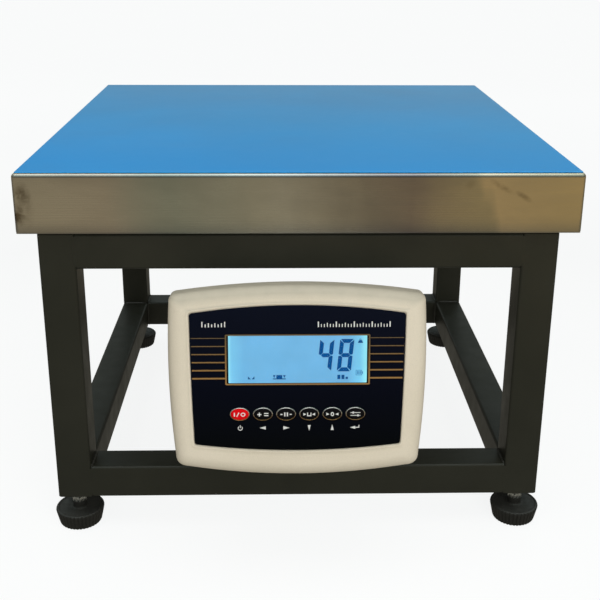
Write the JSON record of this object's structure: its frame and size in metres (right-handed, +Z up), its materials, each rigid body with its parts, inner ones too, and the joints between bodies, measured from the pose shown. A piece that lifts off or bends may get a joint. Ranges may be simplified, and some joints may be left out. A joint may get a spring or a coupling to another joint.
{
  "type": "animal weighing scale",
  "caption": "Low steel stand with a square stainless weighing platter, levelling feet and a tilting digital weight indicator in front, for weighing animals in a clinic.",
  "frame": {"origin": "centre of the footprint box, on the floor under the feet", "axes": "+Z up, +X to the right seen from the front, the indicator faces -Y"},
  "size_m": [0.6, 0.6957, 0.4381],
  "materials": {
    "frame_paint": "semi-gloss black paint",
    "stainless": "brushed, with a faint warm cast",
    "blue_film": "smooth blue film",
    "zinc": "bright zinc plate",
    "steel": "machined",
    "aluminium": "machined",
    "rubber": "moulded",
    "housing": "fine moulded texture",
    "panel": "printed, semi-gloss",
    "window": "clear",
    "display": "backlit blue, lit while weighing",
    "board": "solder mask",
    "key_red": "moulded",
    "key_black": "moulded",
    "black_plastic": "moulded"
  },
  "bodies": {
    "stand": {"leg_front_left": "frame_paint", "leg_front_right": "frame_paint", "leg_back_left": "frame_paint", "leg_back_right": "frame_paint", "lower_rail_front": "frame_paint", "lower_rail_back": "frame_paint", "lower_rail_left": "frame_paint", "lower_rail_right": "frame_paint", "top_rail_front": "frame_paint", "top_rail_back": "frame_paint", "top_rail_left": "frame_paint", "top_rail_right": "frame_paint", "cross_beam": "frame_paint", "load_cell": "aluminium", "lower_spacer": "steel", "indicator_post": "frame_paint", "post_bolt_left": "zinc", "post_bolt_right": "zinc", "tilt_yoke": "frame_paint", "tilt_bolt": "zinc"},
    "foot_front_left": {"foot_pad_front_left": "rubber"},
    "stud_front_left": {"foot_stud_front_left": "zinc"},
    "foot_front_right": {"foot_pad_front_right": "rubber"},
    "stud_front_right": {"foot_stud_front_right": "zinc"},
    "foot_back_left": {"foot_pad_back_left": "rubber"},
    "stud_back_left": {"foot_stud_back_left": "zinc"},
    "foot_back_right": {"foot_pad_back_right": "rubber"},
    "stud_back_right": {"foot_stud_back_right": "zinc"},
    "carrier": {"upper_spacer": "steel", "carrier_beam_left": "frame_paint", "carrier_beam_right": "frame_paint", "carrier_crossbar": "frame_paint", "rubber_pad_front_left": "rubber", "rubber_pad_front_right": "rubber", "rubber_pad_back_left": "rubber", "rubber_pad_back_right": "rubber"},
    "platter": {"platter": "stainless", "platter_film": "blue_film"},
    "indicator": {"tilt_lug": "frame_paint", "front_housing": "housing", "rear_cover": "housing", "face_panel": "panel", "lcd_window": "window", "lcd_module": "display", "main_board": "board", "battery": "black_plastic", "load_cell_socket": "steel", "power_jack": "black_plastic", "cover_screw_1": "zinc", "cover_screw_2": "zinc", "cover_screw_3": "zinc", "cover_screw_4": "zinc"},
    "knob": {"clamp_knob": "black_plastic"},
    "key_on_off": {"key_on_off": "key_red"},
    "key_total": {"key_total": "key_black"},
    "key_hold": {"key_hold": "key_black"},
    "key_tare": {"key_tare": "key_black"},
    "key_zero": {"key_zero": "key_black"},
    "key_set": {"key_set": "key_black"}
  },
  "joints": [
    {"name": "foot_front_left_height", "type": "slide", "parent": "stand", "child": "foot_front_left", "axis": [0, 0, -1], "range_m": [-0.007, 0.01575]},
    {"name": "stud_front_left_turn", "type": "hinge", "parent": "foot_front_left", "child": "stud_front_left", "pos_m": [-0.2625, -0.2144, 0.03], "axis": [0, 0, -1], "range_deg": [-1440, 3240]},
    {"name": "foot_front_right_height", "type": "slide", "parent": "stand", "child": "foot_front_right", "axis": [0, 0, -1], "range_m": [-0.007, 0.01575]},
    {"name": "stud_front_right_turn", "type": "hinge", "parent": "foot_front_right", "child": "stud_front_right", "pos_m": [0.2625, -0.2144, 0.03], "axis": [0, 0, -1], "range_deg": [-1440, 3240]},
    {"name": "foot_back_left_height", "type": "slide", "parent": "stand", "child": "foot_back_left", "axis": [0, 0, -1], "range_m": [-0.007, 0.01575]},
    {"name": "stud_back_left_turn", "type": "hinge", "parent": "foot_back_left", "child": "stud_back_left", "pos_m": [-0.2625, 0.3106, 0.03], "axis": [0, 0, -1], "range_deg": [-1440, 3240]},
    {"name": "foot_back_right_height", "type": "slide", "parent": "stand", "child": "foot_back_right", "axis": [0, 0, -1], "range_m": [-0.007, 0.01575]},
    {"name": "stud_back_right_turn", "type": "hinge", "parent": "foot_back_right", "child": "stud_back_right", "pos_m": [0.2625, 0.3106, 0.03], "axis": [0, 0, -1], "range_deg": [-1440, 3240]},
    {"name": "weighing_deflection", "type": "slide", "parent": "stand", "child": "carrier", "axis": [0, 0, -1], "range_m": [0, 0.0006], "stiffness_N_per_m": 2500000, "springref_m": -0.00004, "deforming": ["load_cell"]},
    {"name": "platter_lift", "type": "slide", "parent": "carrier", "child": "platter", "axis": [0, 0, 1], "range_m": [0, 0.12]},
    {"name": "indicator_tilt", "type": "hinge", "parent": "stand", "child": "indicator", "pos_m": [-0.0038, -0.2454, 0.229], "axis": [1, 0, 0], "range_deg": [-10, 25]},
    {"name": "clamp_knob_turn", "type": "hinge", "parent": "stand", "child": "knob", "pos_m": [-0.0038, -0.2454, 0.229], "axis": [1, 0, 0], "range_deg": [0, 360]},
    {"name": "key_on_off_press", "type": "slide", "parent": "indicator", "child": "key_on_off", "axis": [0, 0.9857, -0.1685], "range_m": [0, 0.0008], "stiffness_N_per_m": 800},
    {"name": "key_total_press", "type": "slide", "parent": "indicator", "child": "key_total", "axis": [0, 0.9857, -0.1685], "range_m": [0, 0.0008], "stiffness_N_per_m": 800},
    {"name": "key_hold_press", "type": "slide", "parent": "indicator", "child": "key_hold", "axis": [0, 0.9857, -0.1685], "range_m": [0, 0.0008], "stiffness_N_per_m": 800},
    {"name": "key_tare_press", "type": "slide", "parent": "indicator", "child": "key_tare", "axis": [0, 0.9857, -0.1685], "range_m": [0, 0.0008], "stiffness_N_per_m": 800},
    {"name": "key_zero_press", "type": "slide", "parent": "indicator", "child": "key_zero", "axis": [0, 0.9857, -0.1685], "range_m": [0, 0.0008], "stiffness_N_per_m": 800},
    {"name": "key_set_press", "type": "slide", "parent": "indicator", "child": "key_set", "axis": [0, 0.9857, -0.1685], "range_m": [0, 0.0008], "stiffness_N_per_m": 800}
  ],
  "couplings": [
    {"joint": "foot_front_left_height", "follows": "stud_front_left_turn", "m_per_rad": 0.00027852},
    {"joint": "foot_front_right_height", "follows": "stud_front_right_turn", "m_per_rad": 0.00027852},
    {"joint": "foot_back_left_height", "follows": "stud_back_left_turn", "m_per_rad": 0.00027852},
    {"joint": "foot_back_right_height", "follows": "stud_back_right_turn", "m_per_rad": 0.00027852}
  ]
}
